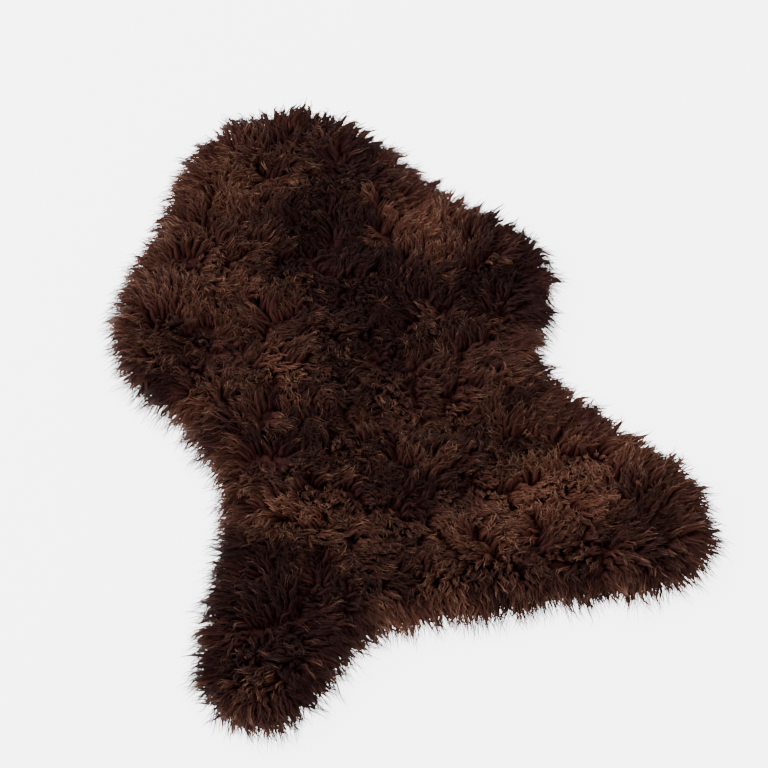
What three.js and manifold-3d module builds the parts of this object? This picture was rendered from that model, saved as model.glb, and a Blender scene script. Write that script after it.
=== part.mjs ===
// A natural brown sheepskin rug, laid out flat with the wool up. Millimetres, +Z up.
//
// The tanned hide is one thin sheet with the pelt's outline: a broad crown, two shoulders, a waist
// and two haunches. It lies on the floor, and keeps a few low humps from where it was folded before.
// The fleece grows from it: a lumpy slab of pile, rounded at its rim, with pointed locks of wool all
// round that hang to the floor. The crown of the pelt points to +Y. The origin is at the middle of
// the bounding box, at floor level.

import * as THREE from "three";
import { mergeVertices } from "three/addons/utils/BufferGeometryUtils.js";
import Module from "manifold-3d";

const HIDE_THICKNESS = 2;
const FLEECE_GAP = 0.4; // between the hide and the fleece, so that the two solids never touch
const PILE_HEIGHT = 50; // from the floor to the usual top of the wool
const PILE_OVERHANG = 28; // how far the slab of pile stands past the hide's edge
const TUFT_SPACING = 25;
const TUFT_HEIGHT = 4.5; // how far single tufts rise and fall on top of the lumps
const TUFT_DRIFT = 6; // and how far they stray sideways

// The hide's edge, anticlockwise from the crown.
const HIDE_EDGE = [
  { at: "crown", x: -13, y: 533 },
  { at: "left neck", x: -61, y: 512 },
  { at: "left neck", x: -112, y: 464 },
  { at: "left neck", x: -170, y: 396 },
  { at: "left shoulder", x: -226, y: 322 },
  { at: "left shoulder", x: -280, y: 248 },
  { at: "left shoulder", x: -312, y: 172 },
  { at: "left shoulder", x: -308, y: 98 },
  { at: "left waist", x: -274, y: 40 },
  { at: "left waist", x: -245, y: -22 },
  { at: "left waist", x: -238, y: -104 },
  { at: "left flank", x: -250, y: -190 },
  { at: "left flank", x: -281, y: -276 },
  { at: "left haunch", x: -325, y: -362 },
  { at: "left haunch", x: -362, y: -446 },
  { at: "left haunch", x: -358, y: -507 },
  { at: "left haunch", x: -320, y: -534 },
  { at: "left haunch", x: -268, y: -516 },
  { at: "notch", x: -202, y: -463 },
  { at: "notch", x: -136, y: -433 },
  { at: "rump", x: -54, y: -434 },
  { at: "rump", x: 66, y: -451 },
  { at: "rump", x: 200, y: -476 },
  { at: "right haunch", x: 290, y: -492 },
  { at: "right haunch", x: 352, y: -472 },
  { at: "right haunch", x: 381, y: -415 },
  { at: "right flank", x: 369, y: -340 },
  { at: "right flank", x: 330, y: -264 },
  { at: "right waist", x: 285, y: -190 },
  { at: "right waist", x: 253, y: -118 },
  { at: "right waist", x: 246, y: -58 },
  { at: "right waist", x: 264, y: -4 },
  { at: "right shoulder", x: 303, y: 44 },
  { at: "right shoulder", x: 324, y: 106 },
  { at: "right shoulder", x: 313, y: 172 },
  { at: "right neck", x: 270, y: 232 },
  { at: "right neck", x: 222, y: 288 },
  { at: "right neck", x: 190, y: 354 },
  { at: "right neck", x: 166, y: 422 },
  { at: "crown", x: 134, y: 480 },
  { at: "crown", x: 92, y: 519 },
  { at: "crown", x: 42, y: 536 },
];
const MIDDLE = new THREE.Vector2(30, 20); // every point of the edge can be seen from here

// Low humps that lift hide and fleece off the floor, each along its heading in degrees from +X.
const HUMPS = [
  { over: "left haunch", x: -253, y: -390, heading: -35, long: 300, wide: 130, rise: 12 },
  { over: "right haunch", x: 290, y: -396, heading: 68, long: 240, wide: 110, rise: 10 },
  { over: "crown", x: 40, y: 440, heading: 8, long: 330, wide: 120, rise: 9 },
  { over: "left shoulder", x: -262, y: 160, heading: 82, long: 250, wide: 110, rise: 11 },
];

// Troughs where the wool parts or lies pressed down.
const TROUGHS = [
  { over: "waist", x: 40, y: -130, heading: -16, long: 520, wide: 130, rise: -15 },
  { over: "spine", x: 10, y: 190, heading: 97, long: 480, wide: 110, rise: -9 },
  { over: "right haunch", x: 205, y: -372, heading: 62, long: 220, wide: 80, rise: -13 },
  { over: "left haunch", x: -160, y: -345, heading: 40, long: 230, wide: 80, rise: -11 },
  { over: "right shoulder", x: 205, y: 178, heading: 35, long: 220, wide: 85, rise: -10 },
  { over: "left shoulder", x: -180, y: 92, heading: -30, long: 200, wide: 80, rise: -10 },
];

// The lumps of the fleece: waves that run across it, each with its crests along its heading.
const WAVES = [
  { length: 236, heading: 18, height: 2.6 },
  { length: 171, heading: 104, height: 2.8 },
  { length: 128, heading: 61, height: 2.9 },
  { length: 103, heading: 148, height: 2.7 },
  { length: 84, heading: -9, height: 2.2 },
];

// How many points go round the hide and the slab of pile.
const SPOKES = 120;

// The hide's rings, from its edge (1) towards its middle (0).
const HIDE_RINGS = [
  { share: 0.12, spokes: SPOKES / 8 },
  { share: 0.3, spokes: SPOKES / 4 },
  { share: 0.48, spokes: SPOKES / 2 },
  { share: 0.66, spokes: SPOKES / 2 },
  { share: 0.84, spokes: SPOKES / 2 },
  { share: 1, spokes: SPOKES },
];

// The slab's rim from the floor up: out is the distance from the hide's edge. The last row is
// above the highest wool, where the lumpy top cuts the slab off.
const RIM = [
  { out: 6, up: 1.2 },
  { out: 17, up: 3.5 },
  { out: PILE_OVERHANG, up: 18 },
  { out: 23, up: 33 },
  { out: 9, up: 44 },
  { out: -12, up: 52 },
  { out: -34, up: 58 },
  { out: -38, up: 100 },
];

// The locks round the rim: low ones that reach the floor, and shorter, high ones between them.
// out is the distance from the hide's edge, up the height of the lock's middle.
const LOCK_COUNT = 138;
const HIGH_LOCK_EVERY = 3; // one lock in this many is a high one
const LOW_LOCK = [
  { out: -8, up: 18, width: 20, depth: 14 },
  { out: 24, up: 18, width: 19, depth: 13 },
  { out: 38, up: 9, width: 14, depth: 9 },
  { out: 48, up: 2.4, width: 7, depth: 4.8 },
];
const LOW_TIP = { out: 58, up: 0.9 };
const HIGH_LOCK = [
  { out: -14, up: 34, width: 20, depth: 13 },
  { out: 16, up: 37, width: 18, depth: 12 },
  { out: 32, up: 30, width: 11, depth: 8 },
];
const HIGH_TIP = { out: 47, up: 19 };
const LOCK_LEAN = 13; // how far a whole run of locks leans along the rim
const LEAN_RUNS = 11; // how many such runs there are, to and fro
const LOCK_SWAY = 4; // how far a single tip strays from its run
const LOCK_REACH_SPREAD = 0.2; // how much longer or shorter than usual a lock may be

const random = () => THREE.MathUtils.seededRandom();
const spread = () => 2 * random() - 1;
THREE.MathUtils.seededRandom(11);

// The rise of a hump or trough at x, y: a smooth swell that ends at its own length and width.
function swell({ x, y, heading, long, wide, rise }, px, py) {
  const turn = THREE.MathUtils.degToRad(heading);
  const along = (px - x) * Math.cos(turn) + (py - y) * Math.sin(turn);
  const across = (py - y) * Math.cos(turn) - (px - x) * Math.sin(turn);
  const reach = Math.hypot(along / (long / 2), across / (wide / 2));
  return reach < 1 ? rise * Math.cos((reach * Math.PI) / 2) ** 2 : 0;
}

const total = (rows, value) => rows.reduce((sum, row) => sum + value(row), 0);
const hideLift = (x, y) => total(HUMPS, (hump) => swell(hump, x, y));

function lumps(x, y) {
  const waves = total(WAVES, ({ length, heading, height }) => {
    const turn = THREE.MathUtils.degToRad(heading);
    const across = y * Math.cos(turn) - x * Math.sin(turn);
    return height * Math.sin((2 * Math.PI * across) / length);
  });
  return waves + total(TROUGHS, (trough) => swell(trough, x, y));
}

// The hide's edge as evenly spaced points, each with its normal away from the hide.
const hideCurve = new THREE.CatmullRomCurve3(
  HIDE_EDGE.map(({ x, y }) => new THREE.Vector3(x, y, 0)),
  true,
  "centripetal",
);

function edgeAt(share) {
  const point = hideCurve.getPointAt(share % 1);
  const tangent = hideCurve.getTangentAt(share % 1);
  return { point, tangent, out: new THREE.Vector3(tangent.y, -tangent.x, 0) };
}

const edge = Array.from({ length: SPOKES }, (_, i) => edgeAt(i / SPOKES));
const offsetEdge = (distance) =>
  edge.map(({ point, out }) => point.clone().addScaledVector(out, distance));

// Part of an outline, drawn in towards the middle by a share, with only some of its points.
function drawnIn(outline, { share, spokes }) {
  return Array.from({ length: spokes }, (_, i) => {
    const { x, y } = outline[(i * outline.length) / spokes];
    return new THREE.Vector2(x, y).sub(MIDDLE).multiplyScalar(share).add(MIDDLE);
  });
}

const raised = (ring, height) => ring.map(({ x, y }) => new THREE.Vector3(x, y, height(x, y)));

const widthOf = (ring) => ring[0].distanceTo(ring[Math.floor(ring.length / 2)]);

// A closed surface through rings of points. The rings turn right-handed about the way from the
// first ring to the last. A ring has as many points as its neighbour, twice or half as many, or one.
// Each four-sided face is split the same way whichever of its rings comes first, so the hide's top
// and the wool's underside match.
function closedSurface(rings) {
  const points = rings.flat();
  const triangles = [];
  let first = 0;
  for (let k = 0; k + 1 < rings.length; k++) {
    const [a, b] = [rings[k].length, rings[k + 1].length];
    const from = (i) => first + (i % a);
    const to = (i) => first + a + (i % b);
    if (a === 1) {
      for (let i = 0; i < b; i++) {
        triangles.push(from(0), to(i + 1), to(i));
      }
    } else if (b === 1) {
      for (let i = 0; i < a; i++) {
        triangles.push(from(i), from(i + 1), to(0));
      }
    } else if (a === b && widthOf(rings[k + 1]) > widthOf(rings[k])) {
      for (let i = 0; i < a; i++) {
        triangles.push(from(i), from(i + 1), to(i));
        triangles.push(from(i + 1), to(i + 1), to(i));
      }
    } else if (a === b) {
      for (let i = 0; i < a; i++) {
        triangles.push(from(i), from(i + 1), to(i + 1));
        triangles.push(from(i), to(i + 1), to(i));
      }
    } else if (a === 2 * b) {
      for (let i = 0; i < b; i++) {
        triangles.push(from(2 * i), from(2 * i + 1), to(i));
        triangles.push(from(2 * i + 1), to(i + 1), to(i));
        triangles.push(from(2 * i + 1), from(2 * i + 2), to(i + 1));
      }
    } else {
      for (let i = 0; i < a; i++) {
        triangles.push(from(i), to(2 * i + 1), to(2 * i));
        triangles.push(from(i), from(i + 1), to(2 * i + 1));
        triangles.push(from(i + 1), to(2 * i + 2), to(2 * i + 1));
      }
    }
    first += a;
  }
  return { points, triangles };
}

// The hide: one sheet, with the same rings on its floor side and on its wool side.
const hideEdge = edge.map(({ point }) => point);
const hideRings = HIDE_RINGS.map((ring) => drawnIn(hideEdge, ring));
const middleRing = [MIDDLE];

function hideSurface() {
  const under = [middleRing, ...hideRings].map((ring) => raised(ring, hideLift));
  const over = [...hideRings].reverse().concat([middleRing]);
  const woolSide = (x, y) => hideLift(x, y) + HIDE_THICKNESS;
  return closedSurface([...under, ...over.map((ring) => raised(ring, woolSide))]);
}

// The slab of pile: over the hide it keeps the gap, and its rim bulges out and rounds in again.
function pileSurface() {
  const over = (height) => (x, y) => hideLift(x, y) + height;
  const underside = over(HIDE_THICKNESS + FLEECE_GAP);
  const under = [middleRing, ...hideRings].map((ring) => raised(ring, underside));
  const rimRings = RIM.map(({ out, up }) => raised(offsetEdge(out), over(up)));
  return closedSurface([...under, ...rimRings, raised(middleRing, over(RIM.at(-1).up))]);
}

// A block with a lumpy, tufted top, wider than the slab of pile.
function tuftedBlock() {
  const margin = 2 * PILE_OVERHANG;
  const box = new THREE.Box3().setFromPoints(hideEdge).expandByScalar(margin);
  const size = box.getSize(new THREE.Vector3());
  const middle = box.getCenter(new THREE.Vector3());
  const [columns, rows] = [size.x, size.y].map((length) => Math.round(length / TUFT_SPACING));
  const block = new THREE.BoxGeometry(size.x, size.y, size.z, columns, rows, 1);
  block.translate(middle.x, middle.y, 0);
  block.deleteAttribute("normal");
  block.deleteAttribute("uv");
  const merged = mergeVertices(block);
  const position = merged.attributes.position;
  const points = Array.from({ length: position.count }, (_, i) => {
    const [x, y, z] = [position.getX(i), position.getY(i), position.getZ(i)];
    if (z < 0) return new THREE.Vector3(x, y, z);
    const top = hideLift(x, y) + PILE_HEIGHT + lumps(x, y);
    const drift = () => TUFT_DRIFT * spread();
    return new THREE.Vector3(x + drift(), y + drift(), top + TUFT_HEIGHT * spread());
  });
  return { points, triangles: Array.from(merged.index.array) };
}

// One lock: a four-sided taper from inside the rim to its tip.
function lockSurface(share, sections, tip) {
  const { point, tangent, out } = edgeAt(share);
  const lift = hideLift(point.x, point.y);
  const reach = 1 + LOCK_REACH_SPREAD * spread();
  const sway = LOCK_LEAN * Math.sin(2 * Math.PI * LEAN_RUNS * share) + LOCK_SWAY * spread();
  const furthest = tip.out;
  // Only the part outside the slab is longer or shorter than usual.
  const centre = (section) => {
    const outside = section.out > PILE_OVERHANG ? reach : 1;
    const slant = sway * Math.max(section.out / furthest, 0) ** 2;
    const settled = lift * (1 - Math.max(section.out, 0) / furthest);
    return point
      .clone()
      .addScaledVector(out, section.out * outside)
      .addScaledVector(tangent, slant)
      .setZ(section.up + settled);
  };
  const rings = sections.map((section) => {
    const corner = (side, up) => {
      const at = centre(section).addScaledVector(tangent, (side * section.width) / 2);
      return at.setZ(at.z + (up * section.depth) / 2);
    };
    return [corner(1, -1), corner(1, 1), corner(-1, 1), corner(-1, -1)];
  });
  return closedSurface([[centre(sections[0])], ...rings, [centre(tip)]]);
}

const wasm = await Module();
wasm.setup();

function solid({ points, triangles }) {
  return new wasm.Manifold(
    new wasm.Mesh({
      numProp: 3,
      vertProperties: new Float32Array(points.flatMap((point) => point.toArray())),
      triVerts: new Uint32Array(triangles),
    }),
  );
}

function geometryOf({ vertProperties, triVerts }) {
  const geometry = new THREE.BufferGeometry();
  geometry.setAttribute("position", new THREE.BufferAttribute(new Float32Array(vertProperties), 3));
  geometry.setIndex(new THREE.BufferAttribute(new Uint32Array(triVerts), 1));
  geometry.computeVertexNormals();
  return geometry;
}

function fleeceGeometry() {
  let fleece = solid(pileSurface()).intersect(solid(tuftedBlock()));
  for (let i = 0; i < LOCK_COUNT; i++) {
    const high = i % HIGH_LOCK_EVERY === 1;
    const [sections, tip] = high ? [HIGH_LOCK, HIGH_TIP] : [LOW_LOCK, LOW_TIP];
    fleece = fleece.add(solid(lockSurface(i / LOCK_COUNT, sections, tip)));
  }
  return geometryOf(fleece.getMesh());
}

const hideMaterial = new THREE.MeshStandardMaterial({
  color: 0x4a3326,
  roughness: 0.85,
  metalness: 0,
});
const woolMaterial = new THREE.MeshStandardMaterial({
  color: 0x3a261d,
  roughness: 0.95,
  metalness: 0,
});

const hide = new THREE.Mesh(geometryOf(solid(hideSurface()).getMesh()), hideMaterial);
hide.name = "hide";
const fleece = new THREE.Mesh(fleeceGeometry(), woolMaterial);
fleece.name = "fleece";

const sheepskin = new THREE.Group();
sheepskin.add(hide, fleece);
const box = new THREE.Box3().setFromObject(sheepskin);
const centre = box.getCenter(new THREE.Vector3());
sheepskin.position.set(-centre.x, -centre.y, -box.min.z);

export default sheepskin;
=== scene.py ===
import math

import bmesh
import bpy
import numpy as np
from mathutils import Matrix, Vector
from mathutils.bvhtree import BVHTree


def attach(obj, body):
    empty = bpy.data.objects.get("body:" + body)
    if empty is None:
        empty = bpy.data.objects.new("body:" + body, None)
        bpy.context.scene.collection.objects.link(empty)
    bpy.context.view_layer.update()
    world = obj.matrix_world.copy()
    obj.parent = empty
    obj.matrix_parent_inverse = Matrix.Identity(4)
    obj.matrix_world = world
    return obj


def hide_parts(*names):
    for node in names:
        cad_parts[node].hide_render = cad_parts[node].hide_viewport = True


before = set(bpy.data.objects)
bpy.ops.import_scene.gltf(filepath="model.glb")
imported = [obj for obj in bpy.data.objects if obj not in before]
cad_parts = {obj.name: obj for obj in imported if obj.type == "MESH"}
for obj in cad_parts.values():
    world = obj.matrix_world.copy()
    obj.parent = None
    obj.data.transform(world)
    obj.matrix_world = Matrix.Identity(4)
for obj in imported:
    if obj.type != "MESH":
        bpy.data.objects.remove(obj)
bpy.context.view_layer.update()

# The hide: one tanned sheepskin, flesh side down on the floor, its edge trimmed along the pelt's
# outline. The flesh side is brushed to a soft brown suede.

SKIN_BROWN = (0.075, 0.036, 0.021, 1)
SKIN_WORN = (0.135, 0.072, 0.043, 1)
SKIN_CREASE = (0.032, 0.015, 0.009, 1)
SKIN_SMOOTH = (1, 1, 1, 1)
CREASE_STRENGTH = 0.45
NAP_SHADE = (0.7, 0.7, 0.7, 1)
NAP_LIGHT = (1.25, 1.22, 1.18, 1)
HIDE_THICKNESS = 0.002
CRINKLES = dict(wavelength=0.03, seed=3, height=0.0007)
FLAT_UP_TO, CRINKLED_FROM = 0.003, 0.007  # heights over the floor
SHARP_EDGE = 40  # degrees, where the trimmed edge stays crisp
SAME_PLACE = 0.00001  # corners closer than this are one
# The least upward share of a normal on the wool side, of a face and of a point.
WOOL_SIDE_FACE, WOOL_SIDE_POINT = 0.5, 0.1


def edit_all(piece, operator, **settings):
    """Runs an edit mode operator on the whole of a piece, and leaves only that piece selected."""
    bpy.ops.object.select_all(action="DESELECT")
    bpy.context.view_layer.objects.active = piece
    piece.select_set(True)
    bpy.ops.object.mode_set(mode="EDIT")
    bpy.ops.mesh.select_all(action="SELECT")
    operator(**settings)
    bpy.ops.object.mode_set(mode="OBJECT")


def own_copy(node, name):
    """A piece of its own with a CAD node's shape, its loose triangles joined up."""
    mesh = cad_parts[node].data.copy()
    mesh.name = name
    mesh.materials.clear()
    piece = bpy.data.objects.new(name, mesh)
    bpy.context.scene.collection.objects.link(piece)
    edit_all(piece, bpy.ops.mesh.remove_doubles, threshold=SAME_PLACE)
    return piece


def of_vertices(piece, what):
    """The place, co, or the normal of every vertex of a piece."""
    values = np.empty(len(piece.data.vertices) * 3)
    piece.data.vertices.foreach_get(what, values)
    return values.reshape(-1, 3)


def move_points(piece, points):
    piece.data.vertices.foreach_set("co", points.ravel())
    piece.data.update()


def swells(points, wavelength, seed, height):
    """Smooth waves over the plan that don't repeat within the pelt. Most stay within their height
    to either side of nought."""
    random = np.random.default_rng(seed)
    count = 9
    heading = random.uniform(0, 2 * math.pi, count)
    length = wavelength * random.uniform(0.75, 1.35, count)
    phase = random.uniform(0, 2 * math.pi, count)
    across = points[:, :1] * np.cos(heading) + points[:, 1:2] * np.sin(heading)
    return height * (np.sin(2 * math.pi * across / length + phase).sum(axis=1) / math.sqrt(count))


class Shader:
    """Short names for placing and joining the nodes of one material."""

    COLOUR_A, COLOUR_B, MIXED_COLOUR = 6, 7, 2  # the Mix node's sockets when it mixes colours

    def __init__(self, name):
        self.material = bpy.data.materials.new(name)
        self.material.use_nodes = True
        self.tree = self.material.node_tree
        self.tree.nodes.clear()
        self.surface = self.node("ShaderNodeBsdfPrincipled")
        output = self.node("ShaderNodeOutputMaterial")
        self.join(self.surface.outputs["BSDF"], output.inputs["Surface"])

    def node(self, kind, **settings):
        node = self.tree.nodes.new(kind)
        for key, value in settings.items():
            setattr(node, key, value)
        return node

    def join(self, output, socket):
        self.tree.links.new(output, socket)

    def colour(self, output):
        self.join(output, self.surface.inputs["Base Color"])

    def all_over(self, values):
        """Sets what is the same all over the surface."""
        for socket, value in values.items():
            self.surface.inputs[socket].default_value = value

    def noise(self, scale, detail=4, distortion=0.0):
        place = self.node("ShaderNodeTexCoord")
        noise = self.node("ShaderNodeTexNoise")
        noise.inputs["Scale"].default_value = scale
        noise.inputs["Detail"].default_value = detail
        noise.inputs["Distortion"].default_value = distortion
        self.join(place.outputs["Object"], noise.inputs["Vector"])
        return noise.outputs["Fac"]

    def ramp(self, value, stops):
        ramp = self.node("ShaderNodeValToRGB")
        elements = ramp.color_ramp.elements
        while len(elements) < len(stops):
            elements.new(0.5)
        for element, (position, colour) in zip(elements, stops):
            element.position, element.color = position, colour
        self.join(value, ramp.inputs["Fac"])
        return ramp.outputs["Color"]

    def mix(self, share, a, b, blend="MIX"):
        mix = self.node("ShaderNodeMix", data_type="RGBA", blend_type=blend)
        sockets = (mix.inputs["Factor"], mix.inputs[self.COLOUR_A], mix.inputs[self.COLOUR_B])
        for socket, value in zip(sockets, (share, a, b)):
            if isinstance(value, bpy.types.NodeSocket):
                self.join(value, socket)
            else:
                socket.default_value = value
        return mix.outputs[self.MIXED_COLOUR]

    def bump(self, height, distance, strength=1.0):
        bump = self.node("ShaderNodeBump")
        bump.inputs["Distance"].default_value = distance
        bump.inputs["Strength"].default_value = strength
        self.join(height, bump.inputs["Height"])
        self.join(bump.outputs["Normal"], self.surface.inputs["Normal"])


def suede():
    shader = Shader("brushed_suede")
    patches = shader.ramp(shader.noise(scale=7), [(0.35, SKIN_BROWN), (0.7, SKIN_WORN)])
    folds = shader.noise(scale=34, detail=8, distortion=0.6)
    creases = shader.ramp(folds, [(0.34, SKIN_CREASE), (0.5, SKIN_SMOOTH)])
    nap = shader.noise(scale=900, detail=6)
    speckle = shader.ramp(nap, [(0.3, NAP_SHADE), (0.7, NAP_LIGHT)])
    creased = shader.mix(CREASE_STRENGTH, patches, creases, "MULTIPLY")
    shader.colour(shader.mix(1.0, creased, speckle, "MULTIPLY"))
    shader.all_over({"Roughness": 0.92, "Specular IOR Level": 0.2})
    shader.all_over({"Sheen Weight": 0.35, "Sheen Roughness": 0.6})
    shader.bump(nap, distance=0.0004, strength=0.6)
    return shader.material


skin = own_copy("hide", "tanned_hide")
edit_all(skin, bpy.ops.mesh.subdivide, number_cuts=2)
skin_points = of_vertices(skin, "co")
# It touches the floor where it did, and crinkles where a hump already lifts it.
lifted = np.clip((skin_points[:, 2] - FLAT_UP_TO) / (CRINKLED_FROM - FLAT_UP_TO), 0, 1)
skin_points[:, 2] += lifted * swells(skin_points, **CRINKLES)
move_points(skin, skin_points)
bpy.ops.object.shade_smooth_by_angle(angle=math.radians(SHARP_EDGE))
skin.data.materials.append(suede())
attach(skin, "root")
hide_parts("hide")

# The underwool: the short, dense and darker wool that stands between the roots of the locks. It
# grows from the whole hide, and is felted together enough to hide the skin. Its colours are painted
# lighter than its own, as painted light in the shade between the locks.

UNDERWOOL_DARK_WITH_PAINTED_LIGHT = (0.047, 0.0160, 0.0150, 1)
UNDERWOOL_BROWN_WITH_PAINTED_LIGHT = (0.080, 0.0290, 0.0235, 1)
UNDERWOOL_SHARE = 0.36  # of the pile's height
UNDERWOOL_RIM = 0.010  # its height at the hide's edge
UNDERWOOL_BULGE = 0.010  # how far it stands out past the hide's edge
UNDERWOOL_BASE = 0.0025  # its underside over the flesh side, just clear of the skin
UNDERWOOL_GRAIN = 0.0095  # the size of the voxels it is felted from
RIM_WIDTH = 0.030  # the strip in which it rounds down to its rim
FINE_LUMPS = dict(wavelength=0.021, seed=8, height=0.0020)
BROAD_LUMPS = dict(wavelength=0.060, seed=9, height=0.0018)
LUMPY_FROM = 0.012  # over the floor
USUAL_TOP = 0.03  # the pile's top over the floor, taken where the solid wool is missed
OVERHEAD = 0.5  # a height over the floor to look down from
OUTWARD_BLEND = 0.018  # the stretch of edge that sets which way is out
AT_ONCE = 2000  # points worked out together
TINY = 1e-6  # stands for a length of nought where something is divided by it


def outline_of(piece):
    """The edge of a sheet as seen from above, as points in order round it."""
    mesh = bmesh.new()
    mesh.from_mesh(piece.data)
    mesh.normal_update()
    step = {}
    for edge in mesh.edges:
        if len(edge.link_faces) != 2:
            continue
        upward = [face for face in edge.link_faces if face.normal.z > WOOL_SIDE_FACE]
        if len(upward) == 1:
            loop = next(loop for loop in upward[0].loops if loop.edge == edge)
            step[loop.vert.index] = loop.link_loop_next.vert.index
    mesh.verts.ensure_lookup_table()
    start = next(iter(step))
    points = [mesh.verts[start].co.xy[:]]
    at = step[start]
    while at != start:
        points.append(mesh.verts[at].co.xy[:])
        at = step[at]
    mesh.free()
    return np.array(points)


def to_outline(plan):
    """How far inside the edge each point of a plan is, and the direction out over the edge."""
    ends = np.roll(outline, -1, axis=0)
    along = ends - outline
    length = np.linalg.norm(along, axis=1)
    distance = np.full(len(plan), np.inf)
    crossings = np.zeros(len(plan), int)
    for start, end, way, size in zip(outline, ends, along, length):
        share = np.clip(((plan - start) @ way) / size**2, 0, 1)
        gap = np.linalg.norm(plan - start - share[:, None] * way, axis=1)
        distance = np.minimum(distance, gap)
        between = (start[1] > plan[:, 1]) != (end[1] > plan[:, 1])
        crossing = way[0] * (plan[:, 1] - start[1]) / (way[1] or TINY**2) + start[0]
        crossings += between & (plan[:, 0] < crossing)
    inside = crossings % 2 == 1
    # The direction is a blend over the stretch of edge near each point, so that it turns smoothly.
    out = np.stack([along[:, 1], -along[:, 0]], axis=1) / length[:, None]
    middles = (outline + ends) / 2
    direction = np.empty((len(plan), 2))
    for i in range(0, len(plan), AT_ONCE):
        gaps = np.linalg.norm(plan[i:i + AT_ONCE, None] - middles[None], axis=2)
        share = np.exp(-((gaps - gaps.min(axis=1, keepdims=True)) / OUTWARD_BLEND)) * length
        direction[i:i + AT_ONCE] = share @ out
    direction /= np.maximum(np.linalg.norm(direction, axis=1, keepdims=True), TINY)
    return np.where(inside, distance, -distance), direction


def tree_of(node):
    mesh = bmesh.new()
    mesh.from_mesh(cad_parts[node].data)
    tree = BVHTree.FromBMesh(mesh)
    mesh.free()
    return tree


def heights(tree, plan, missing):
    """The top of a solid over each point of a plan, looking down on it."""
    found = np.empty(len(plan))
    for i, (x, y) in enumerate(plan):
        hit = tree.ray_cast(Vector((x, y, OVERHEAD)), Vector((0, 0, -1)))[0]
        found[i] = missing if hit is None else hit.z
    return found


def felted_wool():
    shader = Shader("felted_wool")
    tufts = shader.noise(scale=160, detail=6, distortion=0.8)
    # Its colours carry painted light for the shade between the locks.
    shader.colour(shader.ramp(tufts, [(0.4, UNDERWOOL_DARK_WITH_PAINTED_LIGHT), (0.75, UNDERWOOL_BROWN_WITH_PAINTED_LIGHT)]))
    shader.all_over({"Roughness": 0.95, "Specular IOR Level": 0.02})
    shader.bump(tufts, distance=0.003)
    return shader.material


underwool = own_copy("hide", "underwool")
outline = outline_of(underwool)
edit_all(underwool, bpy.ops.mesh.subdivide, number_cuts=3)
felt = of_vertices(underwool, "co")
upper = of_vertices(underwool, "normal")[:, 2] > WOOL_SIDE_POINT
felt_inset, felt_outward = to_outline(felt[:, :2])
rounding = np.clip(felt_inset / RIM_WIDTH, 0, 1)
rounding = np.sqrt(rounding * (2 - rounding))
felt[:, :2] += UNDERWOOL_BULGE * (1 - rounding)[:, None] * felt_outward
wool_tree = tree_of("fleece")
full_height = UNDERWOOL_SHARE * (heights(wool_tree, felt[upper, :2], USUAL_TOP) - felt[upper, 2])
felt[upper, 2] += UNDERWOOL_RIM + (full_height - UNDERWOOL_RIM) * rounding[upper]
felt[~upper, 2] += UNDERWOOL_BASE
move_points(underwool, felt)
remesh = underwool.modifiers.new("felt", "REMESH")
remesh.mode = "VOXEL"
remesh.voxel_size = UNDERWOOL_GRAIN
bpy.ops.object.modifier_apply(modifier=remesh.name)
felt = of_vertices(underwool, "co")
lumps = (swells(felt, **FINE_LUMPS) + swells(felt, **BROAD_LUMPS)) * (felt[:, 2] > LUMPY_FROM)
move_points(underwool, felt + of_vertices(underwool, "normal") * lumps[:, None])
bpy.ops.object.shade_smooth()
underwool.data.materials.append(felted_wool())
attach(underwool, "root")
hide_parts("fleece")

# The locks: pointed locks of long, wavy wool, nearly black in some parts of the pelt, and a warm
# brown with sun-bleached tips in others, with painted shade over some darker parts and painted
# light over some paler ones. They grow all over the hide in tufts that lean together, and fan out
# over its edge down to the floor.

# Each jitter is a share of its spacing.
LOCK_SPACING, LOCK_JITTER = 0.0081, 0.33
LOCK_INSET = 0.003  # the least inset of a lock in the open wool
TUFT_SPACING, TUFT_JITTER = 0.034, 0.38
EDGE_SPACING, EDGE_JITTER = 0.0070, 0.4
EDGE_DEPTHS = (-0.002, 0.004)  # added to the inset of a row along the edge
LEAST_DEPTH = 0.001  # of a lock in such a row
# Rows of extra locks along the edge: how far in they grow, their share of the pile's height, and
# how far their tips drop towards the floor.
EDGE_ROWS = (
    dict(inset=0.001, height=0.42, drop=1.0),
    dict(inset=0.005, height=0.66, drop=0.85),
    dict(inset=0.010, height=0.86, drop=0.62),
    dict(inset=0.016, height=1.0, drop=0.4),
)

# Which way locks lean. Over the open wool the tufts turn in slow swirls, and the whole pelt opens
# out from its middle. In a strip along the edge the locks fan out over it. Angles are in radians.
TUFT_SWIRLS = (
    dict(wavelength=0.24, seed=31, height=2.2),
    dict(wavelength=0.11, seed=32, height=0.9),
)
TUFT_TURN, LOCK_TURN = 0.6, 0.22
OPENING, OPENING_RADIUS = 0.5, 0.35
FAN_WIDTH, FAN_POWER, FAN_LEAN = 0.075, 1.3, 1.7
TUFT_FAN, LOCK_FAN = 0.16, 0.12
LEAST_LEAN = 0.4

# How far a lock reaches sideways from root to tip. It reaches less where the tufts round it lean
# apart, and further along the edge.
REACH, REACH_SPREAD = 0.027, 0.003
REACH_SWELL = dict(wavelength=0.07, seed=33, height=0.007)
REACH_APART, REACH_TOGETHER = 0.70, 1.04
EDGE_REACH, EDGE_REACH_SPREAD = 0.024, 0.006
SHORTEST_REACH, LONGEST_REACH = 0.014, 0.064
GATHERING = 0.14  # how far it closes up towards the middle of its tuft

# How high a lock stands: a share of the solid wool's height, within limits.
TUFT_HEIGHT_SPREAD = 0.07
LOCK_HEIGHT, LOCK_HEIGHT_SPREAD = 0.97, 0.04
THINNEST_WOOL = 0.02
LOWEST_PILE, HIGHEST_PILE = 0.018, 0.058
OPEN_DROP, DROP_WIDTH, DROP_POWER = 0.4, 0.040, 1.2  # of tips in the open wool near the edge
DROPS = (0.75, 1.2)  # how far it differs from lock to lock, at the edge as well

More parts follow.
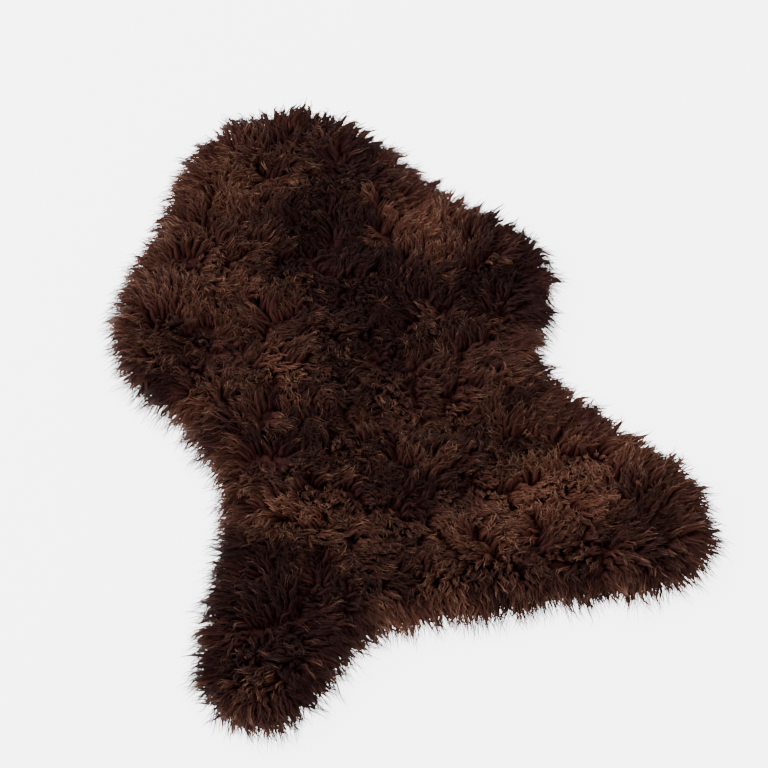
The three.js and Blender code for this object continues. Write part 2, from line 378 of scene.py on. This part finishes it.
# A lock is one thick body inside its loose strands. Steps are shares of its length from the root,
# and the first is out of sight in the underwool. Thickness is a share of the radius.
LOCK_STEPS = np.array([0.12, 0.42, 0.66, 0.85, 1.0])
LOCK_THICKNESS = np.array([0.85, 0.95, 0.76, 0.42, 0.0])
LOCK_RADIUS, LOCK_WIDTHS, EDGE_LOCK_WIDTH = 0.0048, (0.85, 1.15), 0.85
LOCK_LENGTH, EDGE_LOCK_LENGTH = 0.93, 0.62  # shares of the usual length of its strands

# The loose strands of a lock, in the open wool and at the edge. Their steps start in the lock's
# body or the underwool. Tip spread is how wide they end, as a share of how wide they start, and
# lengths are shares of their usual length. Flyaway is the share of them that strays.
OPEN_STRANDS = dict(
    name="strands", count=3, flyaway=0.08, tip_spread=(0.3, 0.9), lengths=(0.84, 1.12),
    steps=(0.36, 0.62, 0.84, 1.0), thickness=(0.90, 1.0, 0.72, 0.0))
RIM_STRANDS = dict(
    name="rim_strands", count=6, flyaway=0.30, tip_spread=(0.8, 1.9), lengths=(0.66, 1.10),
    steps=(0.12, 0.42, 0.66, 0.85, 1.0), thickness=(0.85, 1.0, 0.95, 0.66, 0.0))
STRAND_RADIUS, STRAND_WIDTHS = 0.00074, (0.75, 1.25)
ROOT_RING = (0.3, 1.1)  # where they start, as shares of the area of the lock's section
BELLY, CLOSING_POWER = 0.25, 1.5  # how they part above the roots, and close towards the tip
BEND, BEND_POWER = 0.78, 1.8  # how much of their reach comes near the tip
STANDING_POWER = 1.9  # how fast they rise from the root
ARCH, ARCH_POWER = 0.92, 0.85  # how those that drop to the floor arch over
HIGHEST_STRAND = 1.12  # a share of the lock's height
FLYAWAY_LENGTHS, FLYAWAY_SPREAD, FLYAWAY_STRAY, FLYAWAY_WIDTH = (1.0, 1.14), 0.4, 0.006, 0.6

# Crimp is the wave along a strand, and a hook is the curl of a lock's tip to one side.
CRIMP, CRIMP_SPREAD, CRIMP_WAVES, CRIMP_POWER = 0.0030, 0.5, 2.1, 0.8
CRIMP_ALONG, CRIMP_UP, CRIMP_TURN = 0.6, 0.5, 0.6
STRAND_PHASE = 0.6
HOOK, HOOK_START, HOOK_POWER, HOOK_DIP = 0.0070, 0.6, 1.5, 0.5

SIDES = 3  # of a lock or a strand
SLOPE_ROOM, FLOOR_GAP = 1.05, 0.0002  # what keeps a strand that slopes off the floor
MAP_MARGIN = 0.01  # keeps the map off its own border
MOST_TRIANGLES = 199_000  # in one piece of wool, which is a band across the pelt
BAND_SLANT = 0.15

# Colours from root to tip, of the darkest strands and of the palest. The first stop, deep among the
# roots, is painted lighter, as painted light in the shade between the locks, and the tip stops are
# partly sun-bleached wool and partly painted highlight.
DARK_WOOL_WITH_PAINTED_LIGHT = (
    (0.30, (0.0430, 0.0126, 0.0128, 1)),
    (0.55, (0.0150, 0.0042, 0.0047, 1)),
    (0.80, (0.0092, 0.0025, 0.0030, 1)),
    (1.00, (0.0170, 0.0058, 0.0060, 1)),
)
WARM_WOOL_WITH_PAINTED_LIGHT = (
    (0.30, (0.0900, 0.0279, 0.0216, 1)),
    (0.60, (0.0820, 0.0262, 0.0168, 1)),
    (0.78, (0.1420, 0.0540, 0.0310, 1)),
    (0.92, (0.3300, 0.1780, 0.1150, 1)),
)
FIBRE_SHADE, FIBRE_LIGHT = (0.80, 0.78, 0.77, 1), (1.21, 1.22, 1.23, 1)
FIBRES = (130, 4, 1)  # streaks over the whole map, by tone and by length
WOOL_SHINE = (1.0, 0.70, 0.60, 1)

# A strand's tone is its place between the two. It differs over the whole pelt and over a hand's
# width, along the edge, and from tuft to tuft, lock to lock and strand to strand.
MEAN_TONE, EDGE_TONE = 0.21, 0.08
PELT_TONE = dict(wavelength=0.30, seed=41, height=0.05)
HAND_TONE = dict(wavelength=0.09, seed=42, height=0.06)
TUFT_TONES, LOCK_TONES, STRAND_TONES = 0.10, 0.04, 0.035
LOCK_ROUND, STRAND_ROUND = 0.05, 0.006  # how far it differs round one lock or strand
DARKEST, PALEST = 0.03, 0.94
BLEACHED_SHARE = 0.10
BLEACHED_LOCK, BLEACHED_STRANDS = 0.10, 0.50  # how much lighter, inside and round it
LOCK_TIP = 0.85  # a lock's body ends before the palest part of its strands
# Parts of the pelt that are lighter or darker than the rest: the darker ones, as along the spine,
# at the left waist and over the haunches, are painted shade, and the lighter ones are partly
# sun-bleached wool and partly painted light. The middle of each, half its length and width, the
# heading of its length in degrees from +X, and what it adds to the tone.
TONE_AND_PAINTED_LIGHT_PATCHES = (
    dict(over="left flank", x=-0.145, y=0.180, long=0.200, wide=0.070, heading=84, tone=0.13),
    dict(over="left shoulder", x=-0.270, y=0.220, long=0.100, wide=0.080, heading=60, tone=0.10),
    dict(over="crown", x=-0.050, y=0.450, long=0.120, wide=0.070, heading=20, tone=0.32),
    dict(over="spine", x=0.048, y=0.230, long=0.270, wide=0.085, heading=86, tone=-0.40),
    dict(over="right neck", x=0.165, y=0.235, long=0.100, wide=0.060, heading=125, tone=0.56),
    dict(over="right shoulder", x=0.265, y=0.100, long=0.080, wide=0.070, heading=100, tone=-0.40),
    dict(over="right waist", x=0.225, y=-0.050, long=0.090, wide=0.050, heading=20, tone=-0.04),
    dict(over="left waist", x=-0.150, y=-0.095, long=0.080, wide=0.050, heading=160, tone=-0.14),
    dict(over="loin", x=0.065, y=-0.100, long=0.090, wide=0.060, heading=40, tone=0.20),
    dict(over="rump, middle", x=-0.010, y=-0.205, long=0.070, wide=0.050, heading=0, tone=-0.14),
    dict(over="rump, left", x=-0.200, y=-0.215, long=0.100, wide=0.045, heading=155, tone=0.40),
    dict(over="rump, right", x=0.185, y=-0.320, long=0.160, wide=0.065, heading=8, tone=0.66),
    dict(over="left haunch", x=-0.250, y=-0.360, long=0.120, wide=0.100, heading=100, tone=-0.42),
    dict(over="right haunch", x=0.330, y=-0.440, long=0.090, wide=0.080, heading=0, tone=-0.20),
)

random = np.random.default_rng(seed=20)


def scattered(spacing, jitter):
    """Points in a loose honeycomb over the pelt and the corners round it."""
    low, high = outline.min(axis=0), outline.max(axis=0)
    rows = []
    for row, y in enumerate(np.arange(low[1], high[1], spacing * math.sqrt(3) / 2)):
        x = np.arange(low[0] + (row % 2) * spacing / 2, high[0], spacing)
        rows.append(np.stack([x, np.full(len(x), y)], axis=1))
    points = np.concatenate(rows)
    return points + random.uniform(-jitter, jitter, points.shape) * spacing


def edge_row(row_inset):
    """Points along the pelt's edge, a little inside it."""
    along = np.roll(outline, -1, axis=0) - outline
    length = np.linalg.norm(along, axis=1)
    reached = np.concatenate([[0], np.cumsum(length)])
    stations = np.arange(0, reached[-1], EDGE_SPACING)
    stations += random.uniform(-EDGE_JITTER, EDGE_JITTER, len(stations)) * EDGE_SPACING
    stations %= reached[-1]
    i = np.searchsorted(reached, stations, side="right") - 1
    share = ((stations - reached[i]) / length[i])[:, None]
    inward = np.stack([-along[i, 1], along[i, 0]], axis=1) / length[i][:, None]
    depth = row_inset + random.uniform(*EDGE_DEPTHS, (len(i), 1))
    return outline[i] + share * along[i] + np.maximum(depth, LEAST_DEPTH) * inward


def way_of(heading):
    """The direction of each heading on the plan."""
    return np.stack([np.cos(heading), np.sin(heading)], axis=1)


def crimped_strands(of_lock, count, steps, flyaway, tip_spread, lengths, scatter=1.0):
    """The middle lines of some strands of each lock, with the way across each of them. With a
    scatter of 0 it is the middle line of the lock itself."""
    lock = np.repeat(of_lock, count)
    n = len(lock)
    t = steps[None, :]
    angle = random.uniform(0, 2 * math.pi, n)
    radius = LOCK_RADIUS * np.sqrt(random.uniform(*ROOT_RING, n))
    start = way_of(angle) * scatter * radius[:, None]
    length = random.uniform(*lengths, n)
    loose = random.uniform(0, 1, n) < flyaway
    length[loose] = random.uniform(*FLYAWAY_LENGTHS, loose.sum())
    shift = tip_shift[lock] * length[:, None]
    shift[loose] += random.normal(0, FLYAWAY_STRAY, (loose.sum(), 2))
    shift *= np.minimum(LONGEST_REACH / np.linalg.norm(shift, axis=1, keepdims=True), 1)
    narrowing = 1 - random.uniform(*tip_spread, (n, 1))
    width = 1 + BELLY * np.sin(math.pi * t) - narrowing * t**CLOSING_POWER
    width[loose] = 1 + FLYAWAY_SPREAD * t
    plan = roots[lock][:, None] + start[:, None] * width[..., None]
    plan = plan + shift[:, None] * ((1 - BEND) * t + BEND * t**BEND_POWER)[..., None]
    standing = 1 - (1 - t) ** STANDING_POWER
    arched = ARCH * np.sin(math.pi * t**ARCH_POWER)
    fall = drop[lock][:, None]
    top = (pile[lock] * np.minimum(length, HIGHEST_STRAND))[:, None]
    height = skin_top[lock][:, None] + top * (standing * (1 - fall) + arched * fall)
    centres = np.concatenate([plan, height[..., None]], axis=2)
    way = shift / np.maximum(np.linalg.norm(shift, axis=1, keepdims=True), TINY)
    across = np.stack([-way[:, 1], way[:, 0], np.zeros(n)], axis=1)
    along = np.stack([way[:, 0], way[:, 1], np.zeros(n)], axis=1)
    phase = (crimp_phase[lock] + random.normal(0, STRAND_PHASE * scatter, n))[:, None]
    phase = phase + 2 * math.pi * CRIMP_WAVES * t
    own_crimp = CRIMP * (1 + scatter * random.uniform(-CRIMP_SPREAD, CRIMP_SPREAD, (n, 1)))
    crimp = own_crimp * t**CRIMP_POWER
    centres += (crimp * np.sin(phase))[..., None] * across[:, None]
    centres += (CRIMP_ALONG * crimp * np.cos(phase))[..., None] * along[:, None]
    centres[..., 2] += CRIMP_UP * crimp * np.cos(phase + CRIMP_TURN)
    curl = np.clip((t - HOOK_START) / (1 - HOOK_START), 0, 1) ** HOOK_POWER
    hook = hooks[lock][:, None] * curl[..., None]
    centres[..., :2] += hook * across[:, None, :2]
    centres[..., 2] -= HOOK_DIP * np.abs(hook[..., 0])
    return lock, loose, centres, across


def keep_off_floor(centres, radii):
    """No strand goes below the floor: it lies on it instead."""
    centres[..., 2] = np.maximum(centres[..., 2], radii * SLOPE_ROOM + FLOOR_GAP)


def strand_faces(rings):
    """The corners of one strand's faces, one face after another, and how many each face has. Its
    points go ring by ring from the root, with the tip last."""
    quads = []
    for ring in range(rings - 1):
        for side in range(SIDES):
            here, beside = SIDES * ring + side, SIDES * ring + (side + 1) % SIDES
            quads.append((here, beside, beside + SIDES, here + SIDES))
    last, tip = SIDES * (rings - 1), SIDES * rings
    tip_faces = [(last + side, last + (side + 1) % SIDES, tip) for side in range(SIDES)]
    root_face = list(reversed(range(SIDES)))
    corners = np.concatenate([np.ravel(quads), np.ravel(tip_faces), root_face])
    sizes = np.array([4] * len(quads) + [3] * len(tip_faces) + [SIDES])
    return corners, sizes


def strand_points(centres, radii, across):
    """The points of closed tapered strands. centres is strands by steps by 3, and the last step is
    the tip."""
    tangents = np.gradient(centres, axis=1)
    tangents /= np.linalg.norm(tangents, axis=2, keepdims=True)
    side = across[:, None] - (across[:, None] * tangents).sum(axis=2, keepdims=True) * tangents
    side /= np.maximum(np.linalg.norm(side, axis=2, keepdims=True), TINY)
    lift = np.cross(tangents, side)
    turns = 2 * math.pi * (np.arange(SIDES) + 0.5) / SIDES
    cosine, sine = np.cos(turns)[:, None], np.sin(turns)[:, None]
    corners = cosine * side[:, :-1, None] + sine * lift[:, :-1, None]
    rings = centres[:, :-1, None] + corners * radii[:, :-1, None, None]
    return np.concatenate([rings.reshape(len(centres), -1, 3), centres[:, -1:]], axis=1)


def closed_strands(name, points, tones, tones_round, shares):
    """One mesh of closed strands. Its map holds each strand's tone and the share of its length."""
    strands, per_strand = points.shape[:2]
    corners, sizes = strand_faces(len(shares) - 1)
    loops = (np.arange(strands)[:, None] * per_strand + corners).ravel()
    starts = np.concatenate([[0], np.cumsum(np.tile(sizes, strands))[:-1]])
    mesh = bpy.data.meshes.new(name)
    mesh.vertices.add(strands * per_strand)
    mesh.vertices.foreach_set("co", points.ravel())
    mesh.loops.add(len(loops))
    mesh.loops.foreach_set("vertex_index", loops)
    mesh.polygons.add(len(starts))
    mesh.polygons.foreach_set("loop_start", starts)
    mesh.polygons.foreach_set("use_smooth", np.ones(len(starts), bool))
    spread = np.append(np.tile(np.linspace(-tones_round, tones_round, SIDES), len(shares) - 1), 0)
    tone = spread[None] + tones[:, None]
    share = np.append(np.repeat(shares[:-1], SIDES), shares[-1])
    share = np.broadcast_to(MAP_MARGIN + (1 - 2 * MAP_MARGIN) * share, tone.shape)
    map_points = np.stack([tone, share], axis=2).reshape(-1, 2)[loops]
    mesh.uv_layers.new(name="OFBake").data.foreach_set("uv", map_points.ravel())
    mesh.update(calc_edges=True)
    mesh.validate()
    piece = bpy.data.objects.new(name, mesh)
    bpy.context.scene.collection.objects.link(piece)
    return piece


def wool_fibre():
    """Colour by the map: the strand's tone one way, and from root to tip the other way."""
    shader = Shader("wavy_wool")
    uv = shader.node("ShaderNodeUVMap", uv_map="OFBake")
    parts = shader.node("ShaderNodeSeparateXYZ")
    shader.join(uv.outputs["UV"], parts.inputs["Vector"])
    # Both ramps hold painted light at the roots and a painted highlight at the tips.
    dark = shader.ramp(parts.outputs["Y"], DARK_WOOL_WITH_PAINTED_LIGHT)
    warm = shader.ramp(parts.outputs["Y"], WARM_WOOL_WITH_PAINTED_LIGHT)
    # The single fibres show as fine streaks along a lock.
    streaks = shader.node("ShaderNodeMapping")
    streaks.inputs["Scale"].default_value = FIBRES
    shader.join(uv.outputs["UV"], streaks.inputs["Vector"])
    fibres = shader.node("ShaderNodeTexNoise")
    fibres.inputs["Scale"].default_value = 1.0
    fibres.inputs["Detail"].default_value = 3
    shader.join(streaks.outputs["Vector"], fibres.inputs["Vector"])
    streaked = shader.ramp(fibres.outputs["Fac"], [(0.3, FIBRE_SHADE), (0.7, FIBRE_LIGHT)])
    toned = shader.mix(parts.outputs["X"], dark, warm)
    shader.colour(shader.mix(1.0, toned, streaked, "MULTIPLY"))
    shader.all_over({"Roughness": 0.58, "Specular IOR Level": 0.10, "Specular Tint": WOOL_SHINE})
    return shader.material


def add_wool(name, centres, radii, across, tones, tones_round, shares):
    """Pieces of wool in bands across the pelt, none of them with too many triangles."""
    points = strand_points(centres, radii, across)
    tones = np.clip(tones, DARKEST, PALEST)
    _, sizes = strand_faces(len(shares) - 1)
    triangles = len(centres) * (sizes - 2).sum()
    order = np.argsort(centres[:, 0, 1] + BAND_SLANT * centres[:, 0, 0])
    bands = np.array_split(order, math.ceil(triangles / MOST_TRIANGLES))
    for i, band in enumerate(bands):
        wool = closed_strands(f"{name}_{i + 1}", points[band], tones[band], tones_round, shares)
        wool.data.materials.append(fibre)
        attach(wool, "root")
        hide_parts("fleece")


def tone_with_painted_light(plan):
    # The patches lay painted shade and painted light over the wool's own tone.
    tone = MEAN_TONE + swells(plan, **PELT_TONE)
    for patch in TONE_AND_PAINTED_LIGHT_PATCHES:
        turn = math.radians(patch["heading"])
        x, y = plan[:, 0] - patch["x"], plan[:, 1] - patch["y"]
        along = (x * math.cos(turn) + y * math.sin(turn)) / patch["long"]
        over = (y * math.cos(turn) - x * math.sin(turn)) / patch["wide"]
        tone += patch["tone"] * np.exp(-along**2 - over**2)
    return tone


# Where the locks grow, and which tuft each belongs to.
open_roots = scattered(LOCK_SPACING, LOCK_JITTER)
open_roots = open_roots[to_outline(open_roots)[0] > LOCK_INSET]
edge_rows = [edge_row(row["inset"]) for row in EDGE_ROWS]
row_sizes = [len(row) for row in edge_rows]
edge_height = np.repeat([row["height"] for row in EDGE_ROWS], row_sizes)
edge_drop = np.repeat([row["drop"] for row in EDGE_ROWS], row_sizes)
roots = np.concatenate([open_roots, *edge_rows])
locks = np.arange(len(roots))
at_edge = locks >= len(open_roots)
height_share = np.concatenate([np.ones(len(open_roots)), edge_height])
inset, outward = to_outline(roots)
skin_top = heights(tree_of("hide"), roots, HIDE_THICKNESS)
wool_top = heights(wool_tree, roots, USUAL_TOP)
tufts = scattered(TUFT_SPACING, TUFT_JITTER)
tuft_heading = sum(swells(tufts, **swirl) for swirl in TUFT_SWIRLS)
tuft_heading += random.normal(0, TUFT_TURN, len(tufts))
tuft = np.empty(len(roots), int)
agreement = np.empty(len(roots))  # how far the tufts round a lock lean the same way
for i in range(0, len(roots), AT_ONCE):
    gaps = np.linalg.norm(roots[i:i + AT_ONCE, None] - tufts[None], axis=2)
    tuft[i:i + AT_ONCE] = gaps.argmin(axis=1)
    near = np.exp(-(gaps / TUFT_SPACING) ** 2)
    mean_way = near @ way_of(tuft_heading) / near.sum(axis=1, keepdims=True)
    agreement[i:i + AT_ONCE] = np.linalg.norm(mean_way, axis=1)

# Which way each lock leans: with its tuft over the open wool, and outward near the edge.
heading = tuft_heading[tuft] + random.normal(0, LOCK_TURN, len(roots))
middle = (outline.max(axis=0) + outline.min(axis=0)) / 2
opened = way_of(heading) + OPENING * (roots - middle) / OPENING_RADIUS
rimward = np.clip(1 - inset / FAN_WIDTH, 0, 1)[:, None] ** FAN_POWER
fan = random.normal(0, TUFT_FAN, len(tufts))[tuft] + random.normal(0, LOCK_FAN, len(roots))
fanned = np.cos(fan)[:, None] * outward + np.sin(fan)[:, None] * outward[:, ::-1] * (-1, 1)
lean = (1 - rimward) * opened + rimward * FAN_LEAN * fanned
lean /= np.maximum(np.linalg.norm(lean, axis=1, keepdims=True), LEAST_LEAN)
reach = REACH + swells(roots, **REACH_SWELL) + random.normal(0, REACH_SPREAD, len(roots))
reach *= REACH_APART + (REACH_TOGETHER - REACH_APART) * agreement
edge_reach = EDGE_REACH + random.normal(0, EDGE_REACH_SPREAD, len(roots))
reach = np.maximum(reach + rimward[:, 0] * edge_reach, SHORTEST_REACH)
gathering = GATHERING * (1 - rimward) * (tufts[tuft] - roots)
tip_shift = lean * reach[:, None] + gathering

# How high each lock stands, how far its tip drops again, and how it waves.
tuft_height = random.normal(1.0, TUFT_HEIGHT_SPREAD, len(tufts))[tuft]
lock_height = random.normal(LOCK_HEIGHT, LOCK_HEIGHT_SPREAD, len(roots))
pile = np.maximum(wool_top - skin_top, THINNEST_WOOL) * tuft_height * lock_height
pile = np.clip(pile, LOWEST_PILE, HIGHEST_PILE) * height_share
drop = OPEN_DROP * np.clip(1 - inset / DROP_WIDTH, 0, 1) ** DROP_POWER
drop[at_edge] = edge_drop
drop *= random.uniform(*DROPS, len(roots))
hooks = HOOK * random.normal(0, 1, (len(roots), 1))
crimp_phase = random.uniform(0, 2 * math.pi, len(roots))

# Tone: patches of the pelt, some of them painted shade and painted light, then tufts and locks of
# their own. Here and there a lock is bleached.
tone = tone_with_painted_light(roots) + swells(roots, **HAND_TONE) + EDGE_TONE * rimward[:, 0]
tone += random.normal(0, TUFT_TONES, len(tufts))[tuft] + random.normal(0, LOCK_TONES, len(roots))
bleached = random.uniform(0, 1, len(roots)) < BLEACHED_SHARE
fibre = wool_fibre()

# The locks themselves.
own_length = np.where(at_edge, EDGE_LOCK_LENGTH, LOCK_LENGTH)
_, _, centres, across = crimped_strands(
    locks, 1, LOCK_STEPS, flyaway=0, tip_spread=(0, 0), lengths=(own_length, own_length), scatter=0)
radii = LOCK_RADIUS * LOCK_THICKNESS[None] * random.uniform(*LOCK_WIDTHS, (len(locks), 1))
radii[at_edge] *= EDGE_LOCK_WIDTH
keep_off_floor(centres, radii)
lock_tone = tone + BLEACHED_LOCK * bleached
add_wool("lock", centres, radii, across, lock_tone, LOCK_ROUND, LOCK_TIP * LOCK_STEPS)

# The loose strands round them.
for kind, of_lock in ((OPEN_STRANDS, locks[~at_edge]), (RIM_STRANDS, locks[at_edge])):
    steps = np.array(kind["steps"])
    lock, loose, centres, across = crimped_strands(
        of_lock, kind["count"], steps, kind["flyaway"], kind["tip_spread"], kind["lengths"])
    width = random.uniform(*STRAND_WIDTHS, (len(lock), 1))
    radii = STRAND_RADIUS * np.array(kind["thickness"])[None] * width
    radii[loose] *= FLYAWAY_WIDTH
    keep_off_floor(centres, radii)
    strand_tone = (tone + BLEACHED_STRANDS * bleached)[lock]
    strand_tone += random.normal(0, STRAND_TONES, len(lock))
    add_wool(kind["name"], centres, radii, across, strand_tone, STRAND_ROUND, steps)

# The room: a plain pale floor, soft light from large lamps, and a camera above the pelt, turned so
# that the pelt leans over to the left.

FLOOR_SIZE = 160
FLOOR_COLOUR, FLOOR_GLOW = (0.86, 0.86, 0.88, 1), 4.6
WALL_COLOUR = (0.97, 0.97, 1.0, 1)
WALLS_SEEN, WALLS_LIGHT = 5.6, 1.08
CAMERA_AZIMUTH, CAMERA_ELEVATION, CAMERA_DISTANCE = -19, 52, 4.2
LENS = 129  # mm
AIM = Vector((0.026, -0.029, 0.02))
LAMPS = (
    dict(name="window_left", place=(-2.4, 0.6, 2.0), size=2.2, power=90),
    dict(name="window_back", place=(0.9, 2.4, 1.8), size=2.2, power=52),
    dict(name="fill_front", place=(0.8, -2.6, 2.6), size=2.0, power=42),
)

bpy.ops.object.select_all(action="DESELECT")
bpy.ops.mesh.primitive_plane_add(size=FLOOR_SIZE, location=(0, 0, 0))
floor = bpy.context.object
floor.name = "floor"
plaster = Shader("pale_floor")
plaster.all_over({"Base Color": FLOOR_COLOUR, "Roughness": 0.8})
plaster.all_over({"Emission Color": WALL_COLOUR, "Emission Strength": FLOOR_GLOW})
floor.data.materials.append(plaster.material)

turn, rise = math.radians(CAMERA_AZIMUTH), math.radians(CAMERA_ELEVATION)
away = Vector((math.sin(turn) * math.cos(rise), -math.cos(turn) * math.cos(rise), math.sin(rise)))
camera_data = bpy.data.cameras.new("camera")
camera_data.lens = LENS
camera = bpy.data.objects.new("camera", camera_data)
camera.location = AIM + away * CAMERA_DISTANCE
camera.rotation_euler = (-away).to_track_quat("-Z", "Y").to_euler()
bpy.context.scene.collection.objects.link(camera)
bpy.context.scene.camera = camera

for lamp in LAMPS:
    light = bpy.data.lights.new(lamp["name"], "AREA")
    light.shape, light.size, light.energy = "DISK", lamp["size"], lamp["power"]
    holder = bpy.data.objects.new(lamp["name"], light)
    holder.location = lamp["place"]
    holder.rotation_euler = (AIM - Vector(lamp["place"])).to_track_quat("-Z", "Y").to_euler()
    bpy.context.scene.collection.objects.link(holder)

# The walls look as pale as the floor, and light the pelt as a dim white room does.
world = bpy.data.worlds.new("white_room")
world.use_nodes = True
room = world.node_tree
walls = room.nodes["Background"]
glow = room.nodes.new("ShaderNodeBackground")
for background, strength in ((walls, WALLS_SEEN), (glow, WALLS_LIGHT)):
    background.inputs["Color"].default_value = WALL_COLOUR
    background.inputs["Strength"].default_value = strength
seen = room.nodes.new("ShaderNodeLightPath")
either = room.nodes.new("ShaderNodeMixShader")
_, unseen_shader, seen_shader = either.inputs
room.links.new(seen.outputs["Is Camera Ray"], either.inputs["Fac"])
room.links.new(glow.outputs["Background"], unseen_shader)
room.links.new(walls.outputs["Background"], seen_shader)
room.links.new(either.outputs["Shader"], room.nodes["World Output"].inputs["Surface"])
bpy.context.scene.world = world
